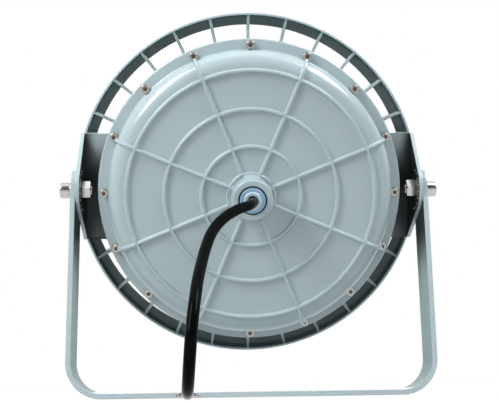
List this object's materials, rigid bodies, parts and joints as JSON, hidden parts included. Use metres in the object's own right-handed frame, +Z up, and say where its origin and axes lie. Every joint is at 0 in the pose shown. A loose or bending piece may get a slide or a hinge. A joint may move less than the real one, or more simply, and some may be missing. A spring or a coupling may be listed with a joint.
{
  "type": "explosion-proof led floodlight",
  "caption": "Round sealed LED floodlight with a domed rear cover, finned guard ring and cable pigtail, tilting in a bent flat-bar yoke.",
  "frame": {"origin": "centre of the yoke base's underside", "axes": "+Z up along the yoke's arms, X along the tilt axis, and the light shines towards +Y"},
  "size_m": [0.3802, 0.3247, 0.3876],
  "materials": {
    "grey_paint": "gloss polyester powder coat on cast aluminium",
    "cover_paint": "gloss polyester powder coat on cast aluminium",
    "yoke_paint": "gloss powder coat on steel bar",
    "bezel_paint": "gloss powder coat on cast aluminium",
    "stainless": "bright stainless steel",
    "bolt_steel": "bright stainless steel",
    "nut_steel": "bright stainless steel",
    "washer_steel": "stamped stainless steel",
    "zinc_blue": "pale blue plated",
    "black_rubber": "smooth extruded rubber sheath",
    "seal_rubber": "moulded sealing rubber",
    "silicone": "matt silicone",
    "glass": "clear toughened glass",
    "board_white": "white solder mask",
    "lens_clear": "clear moulded optics",
    "polished_aluminium": "polished",
    "driver_case": "potted supply case",
    "terminal_plastic": "moulded terminal block",
    "core_live": "brown insulation",
    "core_neutral": "blue insulation",
    "core_earth": "green insulation with a yellow stripe"
  },
  "bodies": {
    "yoke": {"yoke": "yoke_paint", "pivot_bolt_left": "bolt_steel", "pivot_bolt_right": "bolt_steel", "pivot_washer_left": "washer_steel", "pivot_washer_right": "washer_steel", "pivot_nut_left": "nut_steel", "pivot_nut_right": "nut_steel"},
    "head": {"lamp_housing": "grey_paint", "rear_cover": "cover_paint", "front_bezel": "bezel_paint", "gland_nut": "zinc_blue", "gland_seal": "seal_rubber", "gland_washer": "washer_steel", "cover_gasket": "seal_rubber", "cable_entry": "black_rubber", "power_cable": "black_rubber", "core_live": "core_live", "core_earth": "core_earth", "core_neutral": "core_neutral", "front_glass": "glass", "glass_gasket": "silicone", "glass_retainer": "washer_steel", "reflector": "polished_aluminium", "led_board": "board_white", "lens_plate": "lens_clear", "led_driver": "driver_case", "terminal_block": "terminal_plastic", "cover_screw_01": "stainless", "cover_screw_02": "stainless", "cover_screw_03": "stainless", "cover_screw_04": "stainless", "cover_screw_05": "stainless", "cover_screw_06": "stainless", "cover_screw_07": "stainless", "cover_screw_08": "stainless", "cover_screw_09": "stainless", "cover_screw_10": "stainless", "cover_screw_11": "stainless", "cover_screw_12": "stainless", "cover_screw_13": "stainless", "cover_screw_14": "stainless", "cover_screw_15": "stainless", "cover_screw_16": "stainless", "bezel_screw_01": "stainless", "bezel_screw_02": "stainless", "bezel_screw_03": "stainless", "bezel_screw_04": "stainless", "bezel_screw_05": "stainless", "bezel_screw_06": "stainless", "bezel_screw_07": "stainless", "bezel_screw_08": "stainless", "bezel_screw_09": "stainless", "bezel_screw_10": "stainless", "bezel_screw_11": "stainless", "bezel_screw_12": "stainless", "driver_screw_01": "washer_steel", "driver_screw_02": "washer_steel"}
  },
  "joints": [
    {"name": "head_tilt", "type": "hinge", "parent": "yoke", "child": "head", "pos_m": [0, 0, 0.20505], "axis": [1, 0, 0], "range_deg": [-111, 69], "deforming": ["power_cable", "core_live", "core_earth", "core_neutral"]}
  ]
}
